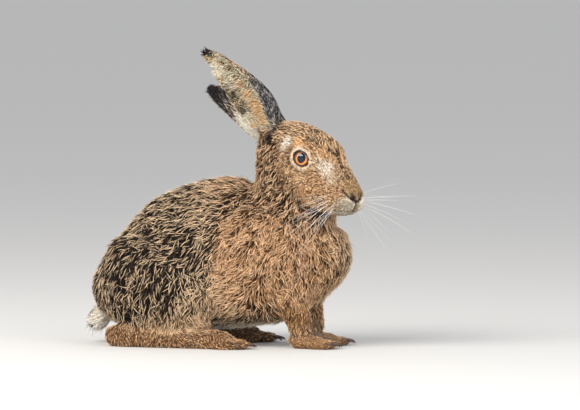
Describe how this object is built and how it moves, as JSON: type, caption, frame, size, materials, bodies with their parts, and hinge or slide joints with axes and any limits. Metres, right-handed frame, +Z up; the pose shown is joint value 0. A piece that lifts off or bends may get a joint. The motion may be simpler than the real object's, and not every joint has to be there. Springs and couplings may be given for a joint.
{
  "type": "brown hare",
  "caption": "Life-size still model of a brown hare crouched on the ground, head turned and lowered a little, long ears laid back.",
  "frame": {"origin": "on the floor under the middle of the hare's bounding box", "axes": "+X forward along the back, +Y to the hare's left, +Z up"},
  "size_m": [0.3336, 0.171, 0.2839],
  "materials": {
    "back_coat": "fur, dark at the root with cream tips, damp and clumped in pointed tufts",
    "rufous_coat": "rusty brown fur with paler tips",
    "face_coat": "short flat fur, tan and flecked with dark brown, pale round the eye and on the lips",
    "ear_coat": "thin skin with short fur, cream inside, grey-black outside, black at the tip",
    "scut": "fluffy fur, white below and black above",
    "eye": "wet, glossy, amber iris with a dark pupil",
    "claw": "dark brown horn",
    "whisker": "stiff white hairs"
  },
  "bodies": {
    "root": {"torso": "back_coat", "neck": "back_coat", "head": "face_coat", "whisker_pad_right": "face_coat", "whisker_pad_left": "face_coat", "ear_right": "ear_coat", "ear_left": "ear_coat", "eye_right": "eye", "eye_left": "eye", "shoulder_right": "rufous_coat", "shoulder_left": "rufous_coat", "foreleg_right": "rufous_coat", "foreleg_left": "rufous_coat", "forepaw_right": "rufous_coat", "forepaw_left": "rufous_coat", "haunch_right": "back_coat", "haunch_left": "back_coat", "hind_foot_right": "rufous_coat", "hind_foot_left": "rufous_coat", "tail": "scut"}
  },
  "joints": []
}
